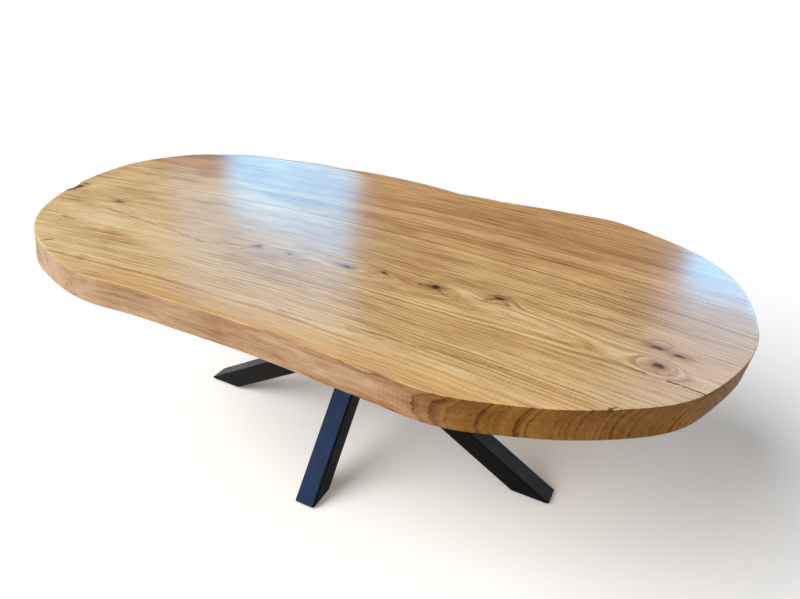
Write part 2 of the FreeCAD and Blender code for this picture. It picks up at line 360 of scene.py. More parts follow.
# Clouds on the top, darker or paler: place, half size, change of tone
clouds_on_top = [
    (-0.363, -0.184, 0.034, 0.013, 0.26),
    (-0.312, -0.197, 0.036, 0.011, 0.24),
    (-0.347, -0.216, 0.014, 0.008, 0.20),
    (-0.332, -0.269, 0.012, 0.008, 0.22),
    (0.440, -0.075, 0.050, 0.012, 0.16),
    (-0.100, -0.126, 0.024, 0.010, 0.18),
    (-0.560, -0.040, 0.045, 0.030, -0.16),
    (-0.400, -0.150, 0.080, 0.020, -0.12),
    (0.222, -0.080, 0.030, 0.008, -0.30),
    (-0.060, -0.150, 0.150, 0.045, 0.10),
    (0.320, -0.095, 0.050, 0.010, -0.14),
    (-0.210, -0.190, 0.120, 0.030, -0.12),
    (0.080, -0.060, 0.280, 0.070, 0.16),
    (0.200, -0.190, 0.280, 0.045, 0.12),
    (0.470, 0.010, 0.050, 0.060, 0.16),
]

# Other finishes: colours from dull to bright as 0 to 255, waves in a metre, depth of relief in metres
coat_colours = [(5, 5, 6), (11, 11, 13)]
coat_roughness = (0.34, 0.46)
coat_cloud_waves = 14.0
orange_peel_waves = 620.0
orange_peel_depth = 0.00012
zinc_colours = [(150, 154, 158), (205, 208, 210)]
zinc_roughness = 0.28
brass_colours = [(170, 130, 66), (214, 178, 104)]
brass_roughness = 0.3
dull_roughness = 0.1        # how much rougher a metal is where it is dull
metal_cloud_waves = 160.0
metal_grain_waves = 900.0
metal_grain_depth = 0.00005
nylon_colours = [(30, 30, 31), (42, 42, 43)]
nylon_roughness = (0.5, 0.62)
nylon_cloud_waves = 90.0
nylon_grain_waves = 800.0
nylon_grain_depth = 0.0001
floor_colours = [(247, 247, 247), (250, 250, 250)]
floor_cloud_waves = 0.7

# Camera
camera_place = (0.50148, -0.79241, 0.88521)
camera_azimuth = 22.61      # degrees, turned left from +Y
camera_tilt = 30.28         # degrees, looking down
camera_roll = 3.27
camera_lens = 27.141        # millimetres, as is the sensor
camera_sensor = 36.0
camera_shift = (-0.0657, -0.0122)

# Floor and light
floor_size = 60.0
floor_lift = 0.15           # what the floor adds to its own colour where it is seen
room_light = 0.20           # grey level of the room all round
key_light = 3.65            # strength of the broad key light
key_spread = math.radians(50.0)
key_direction = (0.60, 0.50, -0.62)
sky = (0.05, 0.55, 1.0)
pale_sky = (0.30, 0.60, 1.0)
haze = (0.05, 0.45, 1.0)
daylight = (0.8, 0.9, 1.0)
deep_sky = (0.02, 0.30, 1.0)
to_table = (0.0, -1.0, 0.0)
to_base = (-0.5, -0.65, -0.5)
to_leg = (0.44, 0.755, -0.5)

# Window panels: centre, size, facing, slant in degrees, colour, strength, what they light if not all
windows = {
    "left_window": ((-2.585, 3.0, 1.80), (1.27, 1.0), to_table, -11.6, sky, 20.0, "slab"),
    "left_glow": ((-2.66, 3.1, 2.75), (1.15, 1.1), to_table, -11.6, pale_sky, 10.0, "slab"),
    "left_haze": ((-3.58, 3.1, 2.88), (1.15, 1.6), to_table, -11.6, haze, 6.5, "slab"),
    "right_window": ((1.05, 3.0, 1.58), (1.0, 0.62), to_table, 0.0, sky, 38.0, "slab"),
    "right_glow": ((1.00, 3.1, 2.90), (1.2, 2.1), to_table, 0.0, pale_sky, 3.0, "slab"),
    "back_window": ((1.9, 2.4, 1.9), (1.3, 1.3), to_base, 0.0, daylight, 5.0, None),
    "front_window": ((-1.5, -2.6, 1.6), (1.4, 1.4), to_leg, 0.0, deep_sky, 34.0, "front_leg"),
}


def srgb(red, green, blue):
    """A colour given as 0 to 255, as the linear values that a shader takes."""
    levels = [value / 255.0 for value in (red, green, blue)]
    return tuple(((v + 0.055) / 1.055) ** 2.4 if v > 0.04045 else v / 12.92 for v in levels) + (1.0,)


class Finish:
    """A material being made, with short calls that add nodes to it."""

    def __init__(self, name):
        self.material = bpy.data.materials.new(name)
        self.material.use_nodes = True
        self.tree = self.material.node_tree
        self.shader = self.tree.nodes["Principled BSDF"]
        coordinates = self.tree.nodes.new("ShaderNodeTexCoord")
        self.place = coordinates.outputs["Object"]
        self.normal = coordinates.outputs["Normal"]

    def feed(self, socket, value):
        """Wires a node's output into a socket, or sets the socket's own value."""
        if isinstance(value, bpy.types.NodeSocket):
            self.tree.links.new(value, socket)
        else:
            socket.default_value = value

    def node(self, kind, values=(), **settings):
        """A new node; values fill its inputs by name or number."""
        made = self.tree.nodes.new(kind)
        for name, setting in settings.items():
            setattr(made, name, setting)
        for key, value in dict(values).items():
            self.feed(made.inputs[key], value)
        return made

    def set(self, **values):
        """Wires or sets inputs of the shader; a name's words are joined by underscores."""
        for name, value in values.items():
            self.feed(self.shader.inputs[name.replace("_", " ")], value)

    def math(self, operation, *values):
        """A number worked out from others."""
        return self.node("ShaderNodeMath", enumerate(values), operation=operation).outputs[0]

    def total(self, *values):
        """The sum of several numbers."""
        return reduce(lambda first, second: self.math("ADD", first, second), values)

    def product(self, *values):
        """Several numbers multiplied together."""
        return reduce(lambda first, second: self.math("MULTIPLY", first, second), values)

    def swing(self, value, width):
        """A number from 0 to 1 spread over that width, half of it below 0."""
        return self.math("MULTIPLY_ADD", value, width, -width / 2.0)

    def vector(self, operation, *values):
        """A vector, or its length or dot product, worked out from others."""
        made = self.node("ShaderNodeVectorMath", enumerate(values), operation=operation)
        gives_number = operation in ("DOT_PRODUCT", "LENGTH")
        return made.outputs["Value" if gives_number else "Vector"]

    def split(self, value):
        """The X, Y and Z of a vector."""
        return self.node("ShaderNodeSeparateXYZ", {0: value}).outputs

    def combine(self, *values):
        """A vector of up to three numbers."""
        return self.node("ShaderNodeCombineXYZ", enumerate(values)).outputs[0]

    def noise(self, waves, detail=2.0, roughness=0.5, place=None):
        """Soft noise; waves gives their number in a metre, all round or along X, Y and Z."""
        stretch = (waves,) * 3 if isinstance(waves, float) else waves
        scaled = self.vector("MULTIPLY", self.place if place is None else place, stretch)
        values = {"Vector": scaled, "Scale": 1.0, "Detail": detail, "Roughness": roughness}
        return self.node("ShaderNodeTexNoise", values).outputs["Fac"]

    def line_noise(self, value, waves, detail=2.0):
        """Soft noise along one number, with so many waves in each unit of it."""
        values = {"W": self.product(value, waves), "Scale": 1.0, "Detail": detail}
        return self.node("ShaderNodeTexNoise", values, noise_dimensions="1D").outputs["Fac"]

    def step(self, value, start, end, low=0.0, high=1.0):
        """A number that goes smoothly from low to high as value goes from start to end."""
        values = {"Value": value, "From Min": start, "From Max": end, "To Min": low, "To Max": high}
        made = self.node("ShaderNodeMapRange", values, interpolation_type="SMOOTHSTEP")
        return made.outputs["Result"]

    def rise_and_fall(self, value, start, full, fall, end):
        """A number that goes from 0 to 1 between start and full, and back to 0 between fall and end."""
        return self.math("SUBTRACT", self.step(value, start, full), self.step(value, fall, end))

    def mix(self, share, first, second):
        """A colour between two others."""
        return self.node("ShaderNodeMix", {0: share, 6: first, 7: second}, data_type="RGBA").outputs[2]

    def ramp(self, value, places, colours):
        """A colour picked by a number, from colours that lie at places from 0 to 1."""
        made = self.node("ShaderNodeValToRGB", {"Fac": value})
        elements = made.color_ramp.elements
        while len(elements) < len(places):
            elements.new(0.5)
        for element, place, colour in zip(elements, places, colours):
            element.position = place
            element.color = srgb(*colour)
        return made.outputs["Color"]

    def mottle(self, clouds, first, second):
        """A colour that drifts between two others with soft noise."""
        return self.ramp(clouds, cloud_range, (first, second))

    def in_oval(self, place, centre, half_size):
        """Where a place lies in an oval on the top, as a vector that is 1 long at its line."""
        away = self.vector("SUBTRACT", place, (*centre, 0.0))
        return self.vector("MULTIPLY", away, (1.0 / half_size[0], 1.0 / half_size[1], 0.0))

    def bell(self, place, centre, half_size):
        """A number that is 1 at a centre and falls off over an oval of that half size on the top."""
        inside = self.in_oval(place, centre, half_size)
        return self.math("EXPONENT", self.product(self.vector("DOT_PRODUCT", inside, inside), -1.0))

    def oval(self, place, centre, half_size, half_width):
        """A number that is 1 along an oval line on the top and falls to 0 on both sides of it."""
        reach = self.vector("LENGTH", self.in_oval(place, centre, half_size))
        off_line = self.math("ABSOLUTE", self.math("SUBTRACT", reach, 1.0))
        return self.step(off_line, half_width * 2.0 / half_size[1], 0.0)

    def stroke(self, place, start, end, half_width):
        """A number that is 1 along a short line on the top and falls to 0 beside it."""
        run = Vector((end[0] - start[0], end[1] - start[1], 0.0))
        away = self.vector("MULTIPLY", self.vector("SUBTRACT", place, (*start, 0.0)), (1.0, 1.0, 0.0))
        share = self.vector("DOT_PRODUCT", away, tuple(run / run.length_squared))
        share = self.node("ShaderNodeClamp", {"Value": share}).outputs[0]
        nearest = self.node("ShaderNodeVectorMath", {0: tuple(run), "Scale": share}, operation="SCALE")
        gap = self.vector("LENGTH", self.vector("SUBTRACT", away, nearest.outputs[0]))
        return self.step(gap, half_width * stroke_rim, half_width * stroke_core)

    def bump(self, height, depth):
        """Fine relief of that depth in metres."""
        made = self.node("ShaderNodeBump", {"Height": height, "Distance": depth, "Strength": 1.0})
        self.feed(self.shader.inputs["Normal"], made.outputs["Normal"])


class SlabWood(Finish):
    """The slab's wood: rings about the pith, knots, fibres and pores, under a satin varnish."""

    def __init__(self):
        super().__init__("varnished_wood")
        self.along, self.across, self.height = self.split(self.place)
        upward = self.math("ABSOLUTE", self.split(self.normal)[2])
        self.on_edge = self.step(upward, *edge_turn)
        self.on_top = self.step(self.height, *(top_face - depth for depth in top_skin))
        self.far_left = self.product(
            self.step(self.across, *far_left_across),
            self.step(self.along, *far_left_along),
        )
        self.lay_grain()
        self.mark_knots()
        self.lay_rings()
        self.lay_fibres()
        self.set(Base_Color=self.colour_of(self.tone()))
        self.varnish()

    def lay_grain(self):
        """Distance of each place from the pith, with a grain that wanders along the trunk."""
        straight = self.math("MULTIPLY_ADD", self.along, pith_slope, pith_across)
        bowed = self.math("MULTIPLY_ADD", self.product(self.along, self.along), -grain_bow, straight)
        self.from_pith = self.total(
            self.math("SUBTRACT", self.across, bowed),
            self.swing(self.noise(drift_waves), grain_drift),
            self.swing(self.noise(ripple_waves, detail=3.0), grain_ripple),
        )
        for x, y, half_length, half_width, lift in waves_in_grain:
            wave = self.bell(self.place, (x, y), (half_length, half_width))
            self.from_pith = self.math("MULTIPLY_ADD", wave, -lift, self.from_pith)
        over_pith = self.total(
            self.math("SUBTRACT", self.height, top_face),
            self.math("MULTIPLY_ADD", self.along, pith_dive, pith_depth),
            self.swing(self.noise(pith_waves, detail=1.0), pith_wander),
        )
        squares = [self.math("POWER", distance, 2.0) for distance in (self.from_pith, over_pith)]
        self.squared_radius = self.total(*squares)

    def mark_knots(self):
        """Knots, where the grain rises and opens into an eye with a dark core, and the lines by them."""
        jitter = [self.swing(self.noise(waves, detail=3.0), ragged_width) for waves in jitter_waves]
        self.ragged = self.vector("ADD", self.place, self.combine(*jitter))
        broken = self.step(self.noise(break_waves), *line_breaks)

        def with_line(marks, line, strength):
            return self.math("MAXIMUM", marks, self.product(line, broken, strength))

        dark = 0.0
        brown = 0.0
        for x, y, eye_length, eye_width, rise, core_length, core_width in knots:
            eye = self.bell(self.place, (x, y), (eye_length, eye_width))
            self.squared_radius = self.math("MULTIPLY_ADD", eye, -rise * rise, self.squared_radius)
            core = self.bell(self.ragged, (x, y), (core_length, core_width))
            rim = self.bell(self.ragged, (x, y), (knot_rim * core_length, knot_rim * core_width))
            dark = self.math("MAXIMUM", dark, self.step(core, *knot_core_edge))
            brown = self.math("MAXIMUM", brown, rim)
        for start, end, half_width, strength in strokes:
            dark = with_line(dark, self.stroke(self.ragged, start, end, half_width), strength)
        for start, end, half_width, strength in grain_lines:
            brown = with_line(brown, self.stroke(self.ragged, start, end, half_width), strength)
        for centre, half_size, half_width, strength in eye_rings:
            brown = with_line(brown, self.oval(self.ragged, centre, half_size, half_width), strength)
        self.dark = self.product(dark, self.on_top)
        self.brown = self.product(brown, self.on_top)

    def lay_rings(self):
        """Rings: most of them faint, a few of them strong, all stronger and weaker along their run."""
        radius = self.math("SQRT", self.math("MAXIMUM", self.squared_radius, smallest_ring ** 2))
        radius = self.product(radius, self.math("MULTIPLY_ADD", self.along, trunk_taper, 1.0))
        uneven = self.swing(self.line_noise(radius, ring_wander_waves), ring_wander)
        ring = self.math("MULTIPLY_ADD", radius, 1.0 / ring_width, uneven)
        number = {"W": self.math("FLOOR", ring)}
        chance = self.node("ShaderNodeTexWhiteNoise", number, noise_dimensions="1D").outputs["Value"]
        strength = self.product(
            self.math("MULTIPLY_ADD", self.math("POWER", chance, ring_chance_power), *ring_strength),
            self.step(self.noise(ring_fade_waves), *ring_fading),
            self.step(radius, *ring_near_pith),
        )
        phase = self.math("FRACT", ring)
        self.late_wood = self.product(self.rise_and_fall(phase, *late_wood_span), strength)
        self.ring_edge = self.rise_and_fall(phase, *ring_edge_span)
        self.streaks = self.line_noise(radius, streak_waves, detail=4.0)
        self.bands = self.line_noise(radius, band_waves, detail=1.0)

    def lay_fibres(self):
        """Fine figure along the grain, slow patches, open pores and faint planer marks."""
        grain = self.combine(self.along, self.from_pith, self.height)
        self.figure = {"patches": self.noise(patch_waves, detail=3.0)}
        for name, (waves_along, waves_across, detail, roughness) in fine_figure.items():
            waves = (waves_along, waves_across, waves_across)
            self.figure[name] = self.noise(waves, detail, roughness, grain)
        self.pores = self.step(self.figure["pores"], *open_pores)
        ridges = self.math("SINE", self.product(self.along, 2.0 * math.pi / planer_pitch))
        self.planer = self.product(ridges, self.step(self.noise(planer_break_waves), *planer_breaks))

    def slopes(self, table):
        """The sum of slow changes over the slab."""
        ways = {"along": self.along, "across": self.across}
        changes = [self.step(ways[way], start, end, 0.0, change) for way, start, end, change in table]
        return self.total(*changes)

    def tone(self):
        """How dark the wood is, from 0 to 1, before its knots and lines."""
        streaks = self.swing(self.streaks, streak_swing)
        figure = self.math("MULTIPLY_ADD", self.late_wood, late_wood_tone, streaks)
        blotches = self.swing(self.noise(blotch_waves, detail=3.0), blotch_swing)
        smudges = self.math("MULTIPLY_ADD", self.noise(smudge_waves, detail=3.0), *edge_smudges)
        plain_edge = self.product(
            self.step(self.along, *plain_edge_right),
            self.step(self.along, *plain_edge_left),
            self.on_edge,
        )
        edge_rings = self.step(self.along, *edge_rings_to_right, 0.0, edge_ring_tone)
        growth = self.step(self.along, *smudges_to_left, *smudge_growth)
        tone = self.total(
            figure,
            *[self.swing(self.figure[name], width) for name, width in tone_swings.items()],
            self.product(self.pores, pore_tone),
            self.product(self.planer, planer_tone),
            # painted light: these slopes make the wood paler towards the front and the left, where the
            # light falls
            self.slopes(tone_and_painted_light_slopes),
            self.product(self.far_left, far_left_tone),
            self.product(blotches, self.step(self.along, *blotches_to_left)),
            self.product(self.on_edge, self.ring_edge, edge_rings),
            self.product(plain_edge, figure, plain_edge_loss),
            self.product(self.on_edge, smudges, growth),
            plain_tone,
        )
        for x, y, half_length, half_width, change in clouds_on_top:
            cloud = self.product(self.bell(self.ragged, (x, y), (half_length, half_width)), self.on_top)
            tone = self.math("MULTIPLY_ADD", cloud, change, tone)
        return tone

    def colour_of(self, tone):
        """Colour of the top, greyed near the right end by a painted reflection of window glare; of the
        edge, which darkens to the right; and of the knots and lines.
        """
        warm = self.total(
            self.slopes(warmth_slopes),
            self.math("MULTIPLY_ADD", self.bands, *band_warmth),
            self.product(self.far_left, far_left_warmth),
        )
        khaki = self.ramp(tone, top_tones, khaki_wood)
        orange = self.ramp(tone, top_tones, orange_wood)
        top = self.mix(self.step(warm, *warm_range), khaki, orange)
        # painted reflection: window glare greys the top towards the right end
        painted_glare = self.product(self.step(self.along, *painted_glare_to_right, 0.0, painted_glare_share), self.on_top)
        top = self.mix(painted_glare, top, srgb(*painted_glare_tint))
        side = self.ramp(tone, edge_tones, pink_sapwood)
        for stretch, colours in edge_changes:
            side = self.mix(self.step(self.along, *stretch), side, self.ramp(tone, edge_tones, colours))
        core = srgb(*knot_core)
        for stretch, colour in core_changes:
            core = self.mix(self.step(self.along, *stretch), core, srgb(*colour))
        wood = self.mix(self.on_edge, top, side)
        wood = self.mix(self.product(self.brown, brown_share), wood, srgb(*brown_line))
        return self.mix(self.dark, wood, core)

    def varnish(self):
        """Satin varnish that lets the fibres, pores and cracks be felt."""
        fibres = self.figure["fibres"]
        roughness = self.total(
            self.product(fibres, fibre_roughness),
            self.product(self.late_wood, late_wood_roughness),
            wood_roughness,
        )
        self.set(Roughness=roughness, Specular_IOR_Level=0.0)
        self.set(Coat_Weight=0.25, Coat_Roughness=0.18, Coat_IOR=1.5)
        relief = self.total(
            self.product(self.figure["threads"], fine_thread_relief),
            self.product(self.pores, pore_relief),
            self.product(self.planer, planer_relief),
            self.product(self.dark, crack_relief),
            fibres,
        )
        self.bump(relief, relief_depth)


def black_coat():
    """Satin black powder coat with a fine orange peel."""
    coat = Finish("black_coat")
    clouds = coat.noise(coat_cloud_waves, detail=3.0)
    coat.set(Base_Color=coat.mottle(clouds, *coat_colours))
    coat.set(Roughness=coat.step(clouds, *cloud_range, *coat_roughness))
    coat.set(Specular_IOR_Level=0.08)
    coat.bump(coat.noise(orange_peel_waves), orange_peel_depth)
    return coat.material


def bare_metal(name, dull, bright, rough):
    """Plated or plain metal with a faintly uneven shine."""
    metal = Finish(name)
    clouds = metal.noise(metal_cloud_waves, detail=3.0)
    metal.set(Base_Color=metal.mottle(clouds, dull, bright), Metallic=1.0)
    metal.set(Roughness=metal.step(clouds, *cloud_range, rough + dull_roughness, rough))
    metal.bump(metal.noise(metal_grain_waves), metal_grain_depth)
    return metal.material


def glide_nylon():
    """Moulded black nylon of the glide pads."""
    nylon = Finish("glide_nylon")
    grain = nylon.noise(nylon_grain_waves)
    nylon.set(Base_Color=nylon.mottle(nylon.noise(nylon_cloud_waves), *nylon_colours))
    nylon.set(Roughness=nylon.step(grain, *cloud_range, *nylon_roughness))
    nylon.bump(grain, nylon_grain_depth)
    return nylon.material


finishes = {
    "varnished_wood": SlabWood().material,
    "black_coat": black_coat(),
    "zinc_steel": bare_metal("zinc_steel", *zinc_colours, zinc_roughness),
    "insert_brass": bare_metal("insert_brass", *brass_colours, brass_roughness),
    "glide_nylon": glide_nylon(),
}


def finish_of_node(name):
    """Finish of a CAD node, by its name."""
    if name == "slab_top":
        return "varnished_wood"
    if name.endswith("_glide_pad"):
        return "glide_nylon"
    if name == "threaded_inserts":
        return "insert_brass"
    if name.endswith("_glide_stud") or name in ("weld_nuts", "mount_bolts", "mount_washers"):
        return "zinc_steel"
    return "black_coat"


for node_name, node in frame["nodes"].items():
    node.data.materials.clear()
    node.data.materials.append(finishes[finish_of_node(node_name)])


def only(*pieces):
    """Selects these objects and nothing else; the first becomes the active one."""
    bpy.ops.object.select_all(action="DESELECT")
    for piece in pieces:
        piece.select_set(True)
    bpy.context.view_layer.objects.active = pieces[0]


def new_piece(name, mesh):
    """A new object with that mesh, selected alone."""
    piece = bpy.data.objects.new(name, mesh)
    bpy.context.scene.collection.objects.link(piece)
    only(piece)
    return piece


def new_wire(name, points, edges):
    """A new object of bare points and edges, selected alone."""
    mesh = bpy.data.meshes.new(name)
    mesh.from_pydata(points, edges, [])
    return new_piece(name, mesh)


def new_cylinder(corners, radius, low, high):
    """A new cylinder about Z between two heights, selected alone."""
    bpy.ops.object.select_all(action="DESELECT")
    bpy.ops.mesh.primitive_cylinder_add(vertices=corners, radius=radius, depth=high - low)
    cylinder = bpy.context.active_object
    cylinder.location.z = (low + high) / 2.0
    return cylinder


def merged_copy(node_name):
    """A merged mesh of a CAD node, ready for edit work in code."""
    mesh = bmesh.new()
    mesh.from_mesh(frame["nodes"][node_name].data)
    bmesh.ops.remove_doubles(mesh, verts=mesh.verts, dist=same_point)
    return mesh


def pick(piece, kind, wanted):
    """In edit mode, selects the edges or faces that a test picks, and nothing else."""
    bpy.ops.mesh.select_mode(type=kind)
    bpy.ops.mesh.select_all(action="DESELECT")
    mesh = bmesh.from_edit_mesh(piece.data)
    for element in mesh.edges if kind == "EDGE" else mesh.faces:
        element.select_set(wanted(element))
    bmesh.update_edit_mesh(piece.data)


def borders_flat_face(edge):
    """Whether an edge borders a face that lies flat."""
    return any(abs(face.normal.z) > level_turn for face in edge.link_faces)


def turn_outward():
    """In edit mode, turns all faces outward."""
    bpy.ops.mesh.select_all(action="SELECT")
    bpy.ops.mesh.normals_make_consistent(inside=False)


def fix_place():
    """Moves the place, turn and scale of what is selected into its mesh."""
    bpy.ops.object.transform_apply(location=True, rotation=True, scale=True)


def apply_boolean(piece, other, operation, crossing=False):
    """Joins, cuts or trims a piece with another object, which is used up and may be crossing itself."""
    only(piece)
    change = piece.modifiers.new("trim", "BOOLEAN")
    change.operation = operation
    change.solver = "EXACT"
    change.use_self = crossing
    change.object = other
    bpy.ops.object.modifier_apply(modifier=change.name)
    bpy.data.objects.remove(other)


def join_pieces(pieces, name):
    """Joins objects into one piece with its place in its mesh."""
    only(*pieces)
    if len(pieces) > 1:
        bpy.ops.object.join()
    fix_place()
    joined = bpy.context.active_object
    joined.name = name
    joined.data.name = name
    return joined


def dress(piece, finish, *nodes, body="table", crease=40.0):
    """Gives a piece its shading, finish, slot and body, and hides the CAD nodes that it stands for."""
    only(piece)
    bpy.ops.object.shade_smooth_by_angle(angle=math.radians(crease))
    piece.data.materials.clear()
    piece.data.materials.append(finishes[finish])
    if nodes:
        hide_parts(*nodes)
    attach(piece, body)


def outline_at(level):
    """Points of the slab's outline at a height, in order round it, from a cut through the CAD node."""
    mesh = merged_copy("slab_top")
    everything = mesh.verts[:] + mesh.edges[:] + mesh.faces[:]
    plane = {"plane_co": (0.0, 0.0, level), "plane_no": (0.0, 0.0, 1.0)}
    cut = bmesh.ops.bisect_plane(mesh, geom=everything, **plane)
    beside = {}
    for edge in cut["geom_cut"]:
        if isinstance(edge, bmesh.types.BMEdge):
            first, second = edge.verts
            beside.setdefault(first, []).append(second)
            beside.setdefault(second, []).append(first)
    loop = [max(beside, key=lambda corner: corner.co.x)]
    loop.append(max(beside[loop[0]], key=lambda corner: corner.co.y))
    while len(loop) <= len(beside):
        following = next(corner for corner in beside[loop[-1]] if corner is not loop[-2])
        if following is loop[0]:
            break
        loop.append(following)
    points = [corner.co.copy() for corner in loop]
    mesh.free()
    return points


def even_outline(points, count):
    """A closed outline with its points moved to even steps along it."""
    closed = points + points[:1]
    lengths = [0.0]
    for first, second in zip(closed, closed[1:]):
        lengths.append(lengths[-1] + (second - first).length)
    even = []
    span = 0
    for index in range(count):
        wanted = lengths[-1] * index / count
        while lengths[span + 1] < wanted:
            span += 1
        share = (wanted - lengths[span]) / (lengths[span + 1] - lengths[span])
        even.append(closed[span].lerp(closed[span + 1], share))
    return even


def sand_edges(slab):
    """Waves from hand sanding on the live edges, fading out towards the arrises and the sawn ends."""
    live = slab.vertex_groups.new(name="live_edge")
    for corner in slab.data.vertices:
        to_arris = min(corner.co.z - underside, top_face - wane_depth - corner.co.z) / edge_wave_fade
        side_on = (abs(corner.normal.y) - live_turn) / live_turn_span
        live.add([corner.index], max(0.0, min(1.0, to_arris, side_on)), "REPLACE")
    waves = bpy.data.textures.new("edge_waves", "CLOUDS")
    waves.noise_scale = edge_wave_length
    waves.noise_depth = 1
    sanded = slab.modifiers.new("sanded_waves", "DISPLACE")
    sanded.texture = waves
    sanded.texture_coords = "LOCAL"
    sanded.vertex_group = live.name
    sanded.mid_level = 0.0
    sanded.strength = -edge_wave_depth
    bpy.ops.object.modifier_apply(modifier=sanded.name)
    slab.vertex_groups.clear()


def cut_flaws(slab, rim):
    """Cuts the cracks and chips into the slab; rim is the outline of its top."""
    cutters = []

    def place_cutter(half_size, place, run):
        bpy.ops.transform.resize(value=half_size)
        cutter = bpy.context.active_object
        cutter.location = place
        cutter.rotation_euler.z = math.atan2(run.y, run.x)
        cutters.append(cutter)

    for start, end, width, depth in cracks:
        run = Vector(end) - Vector(start)
        middle = (Vector(start) + Vector(end)) / 2.0
        height = depth + cutter_rise
        bpy.ops.object.select_all(action="DESELECT")
        bpy.ops.mesh.primitive_cone_add(vertices=4, radius1=crack_floor, radius2=1.0, depth=height)
        place = (middle.x, middle.y, top_face - (depth - cutter_rise) / 2.0)
        place_cutter((run.length / 2.0, width / 2.0, 1.0), place, run)
    for spot, *half_size in chips:
        nearest = min(range(len(rim)), key=lambda i: (rim[i].xy - Vector(spot)).length)
        run = rim[(nearest + 1) % len(rim)] - rim[nearest - 1]
        bpy.ops.object.select_all(action="DESELECT")
        bpy.ops.mesh.primitive_ico_sphere_add(subdivisions=2, radius=1.0)
        place_cutter(half_size, rim[nearest], run)
    apply_boolean(slab, join_pieces(cutters, "flaws"), "DIFFERENCE", crossing=True)


def make_slab():
    """The slab with softened corners, a bark-side slope, sanded live edges, cracks and chips."""
    levels = [underside, top_face - wane_depth, top_face]
    bottom, wane, top = levels
    cuts = [bottom + cut_clearance, wane - cut_clearance, top - cut_clearance]
    outlines = [[Vector((p.x, p.y, z)) for p in outline_at(cut)] for cut, z in zip(cuts, levels)]
    length = sum((b - a).length for a, b in zip(outlines[2], outlines[2][1:] + outlines[2][:1]))
    count = round(length / outline_step)
    points = []
    edges = []
    for outline in outlines:
        base = len(points)
        points += even_outline(outline, count)
        edges += [(base + i, base + (i + 1) % count) for i in range(count)]
    slab = new_wire("live_edge_slab", points, edges)
    bpy.ops.object.mode_set(mode="EDIT")

    def pick_at(*heights):
        def wanted(edge):
            return any(all(abs(end.co.z - z) < same_height for end in edge.verts) for z in heights)
        pick(slab, "EDGE", wanted)

    pick_at(bottom, wane)
    rows = round((wane - bottom) / edge_row_height)
    bpy.ops.mesh.bridge_edge_loops(type="SINGLE", number_cuts=rows - 1, interpolation="LINEAR")
    pick_at(wane, top)
    bpy.ops.mesh.bridge_edge_loops(type="SINGLE")
    for level in (bottom, top):
        pick_at(level)
        bpy.ops.mesh.edge_face_add()
    turn_outward()
    pick_at(wane, top)
    bpy.ops.mesh.bevel(offset=arris_round, segments=3, clamp_overlap=True)
    pick_at(bottom)
    bpy.ops.mesh.bevel(offset=lower_arris_round, segments=3, clamp_overlap=True)
    pick(slab, "FACE", lambda face: len(face.verts) > flat_corners)
    bpy.ops.mesh.inset(thickness=flat_margin)
    bpy.ops.object.mode_set(mode="OBJECT")
    sand_edges(slab)
    cut_flaws(slab, points[-count:])
    dress(slab, "varnished_wood", "slab_top", crease=35.0)


def off_axis(point, bar):
    """The larger of a point's two distances from a bar's middle planes."""
    knot = Vector((0.0, 0.0, knot_height))
    along = (knot - Vector((*leg_reach[bar], leg_end_height))).normalized()
    level = Vector((0.0, 0.0, 1.0)).cross(along).normalized()
    away = point - knot
    return max(abs(away.dot(level)), abs(away.dot(along.cross(level))))


def rim_lines(name, bar, wanted):
    """Pairs of points along the outer rims of a tube's cut ends, where a test picks the pair."""
    mesh = merged_copy(name)
    lines = []
    for edge in mesh.edges:
        ends = [corner.co.copy() for corner in edge.verts]
        outer = min(off_axis(end, bar) for end in ends) > tube_half * rim_share
        if outer and edge.calc_face_angle(0.0) > rim_bend and wanted(*ends):
            lines.append(ends)
    mesh.free()
    return lines


def surface_of(node_name):
    """A CAD node's surface, to measure from."""
    mesh = merged_copy(node_name)
    surface = BVHTree.FromBMesh(mesh)
    mesh.free()
    return surface


def knot_weld_lines():
    """Pairs of points where the tubes meet at the knot."""
    lines = []
    for name, bar in bars.items():
        welded_to = ["through_bar"] + ([] if name in crossing_tubes else crossing_tubes)
        surfaces = [surface_of(other) for other in welded_to]

        def at_weld(first, second):
            middle = (first + second) / 2.0
            return any(surface.find_nearest(middle)[3] < touching for surface in surfaces)

        lines += rim_lines(name, bar, at_weld)
    return lines


def plate_weld_lines():
    """Pairs of points round the upper ends of the tubes, under the mounting plates."""
    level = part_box("left_mount_plate")[0].z

    def at_plate(*ends):
        return all(abs(end.z - level) < touching for end in ends)

    lines = []
    for name, bar in {**bars, "through_bar": "left"}.items():
        lines += rim_lines(name, bar, at_plate)
    return lines


def make_weld_beads():
    """Rippled weld beads at the knot and under the mounting plates."""
    points = []
    edges = []
    for first, second in knot_weld_lines() + plate_weld_lines():
        steps = max(1, round((second - first).length / bead_step))
        base = len(points)
        points += [first.lerp(second, step / steps) for step in range(steps + 1)]
        edges += [(base + step, base + step + 1) for step in range(steps)]
    new_wire("weld_beads", points, edges)
    bpy.ops.object.mode_set(mode="EDIT")
    bpy.ops.mesh.select_all(action="SELECT")
    bpy.ops.mesh.remove_doubles(threshold=bead_step * bead_merge)
    bpy.ops.object.mode_set(mode="OBJECT")
    bpy.ops.object.convert(target="CURVE")
    rods = bpy.context.active_object.data
    rods.bevel_depth = bead_radius
    rods.bevel_resolution = 3
    rods.use_fill_caps = True
    for spline in rods.splines:
        for place, point in enumerate(spline.points):
            point.radius = 1.0 + bead_ripple * (-1.0 if place % 2 else 1.0)
    bpy.ops.object.convert(target="MESH")
    bpy.ops.object.mode_set(mode="EDIT")
    turn_outward()
    bpy.ops.object.mode_set(mode="OBJECT")
    beads = join_pieces([bpy.context.active_object], "weld_beads")
    dress(beads, "black_coat", crease=50.0)


